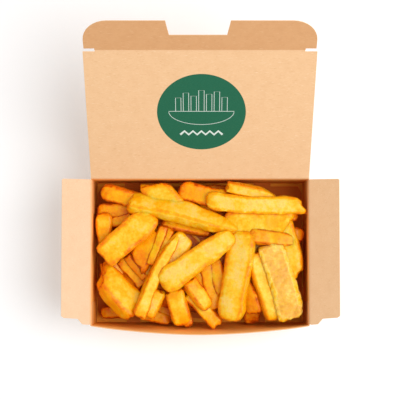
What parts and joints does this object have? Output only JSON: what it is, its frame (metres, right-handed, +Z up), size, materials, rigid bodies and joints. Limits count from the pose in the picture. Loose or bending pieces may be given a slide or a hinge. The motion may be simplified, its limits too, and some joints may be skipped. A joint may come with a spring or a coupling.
{
  "type": "french fries in a carton",
  "caption": "Thick-cut fries heaped in an open kraft board carton with a creased lid, tuck flap and two side flaps that fold shut.",
  "frame": {"origin": "middle of the carton's underside", "axes": "+Z up, +Y towards the lid's crease, +X to the right seen from the front"},
  "size_m": [0.2006, 0.213, 0.1391],
  "materials": {
    "board": "uncoated kraft board with fine fibres",
    "fries": "fried potato with a thin oily crust",
    "print": "matt green print on the lid"
  },
  "bodies": {
    "carton": {"tray": "board", "base_panel": "board", "fries": "fries"},
    "lid": {"lid_panel": "board"},
    "tuck": {"tuck_flap": "board"},
    "left_flap": {"flap_left": "board"},
    "right_flap": {"flap_right": "board"}
  },
  "joints": [
    {"name": "lid_fold", "type": "hinge", "parent": "carton", "child": "lid", "pos_m": [0, 0.0537, 0.0506], "axis": [1, 0, 0], "range_deg": [-60, 140.3]},
    {"name": "tuck_fold", "type": "hinge", "parent": "lid", "child": "tuck", "pos_m": [0, 0.13584, 0.11807], "axis": [1, 0, 0], "range_deg": [-12.5, 77.5]},
    {"name": "left_fold", "type": "hinge", "parent": "carton", "child": "left_flap", "pos_m": [-0.0797, 0, 0.0497], "axis": [0, 1, 0], "range_deg": [-84, 146]},
    {"name": "right_fold", "type": "hinge", "parent": "carton", "child": "right_flap", "pos_m": [0.0797, 0, 0.0497], "axis": [0, -1, 0], "range_deg": [-79, 151]}
  ]
}
